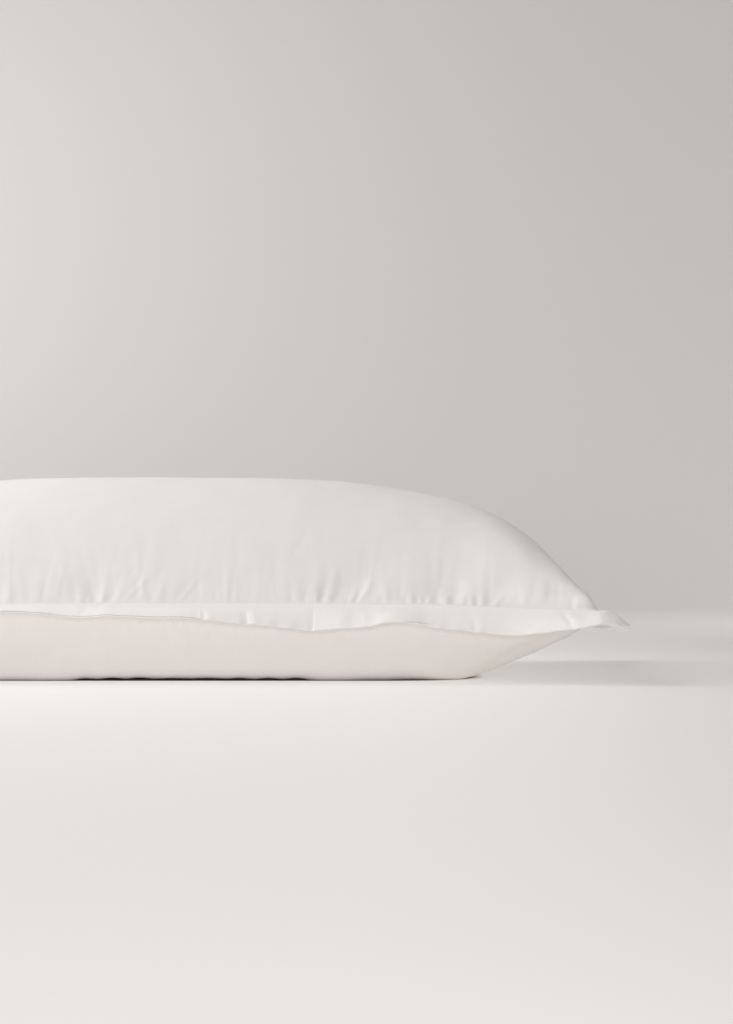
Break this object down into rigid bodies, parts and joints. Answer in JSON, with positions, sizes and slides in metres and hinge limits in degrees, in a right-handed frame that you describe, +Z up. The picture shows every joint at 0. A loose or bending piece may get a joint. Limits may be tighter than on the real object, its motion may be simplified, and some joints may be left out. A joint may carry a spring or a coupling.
{
  "type": "filled pillowcase",
  "caption": "Plain white cotton pillowcase with a flat stitched flange all round, filled and lying flat on its back.",
  "frame": {"origin": "middle of the footprint, on the surface that the case lies on", "axes": "+X along the length of the case, +Y across it, away from the side that faces the camera, +Z up through the crown"},
  "size_m": [0.782, 0.534, 0.1686],
  "materials": {
    "case_cotton": "matt warm white plain-weave cotton",
    "flange_cotton": "matt warm white plain-weave cotton, pressed flat"
  },
  "bodies": {
    "root": {"filled_case": "case_cotton", "flange_front_layer": "flange_cotton", "flange_back_layer": "flange_cotton"}
  },
  "joints": []
}
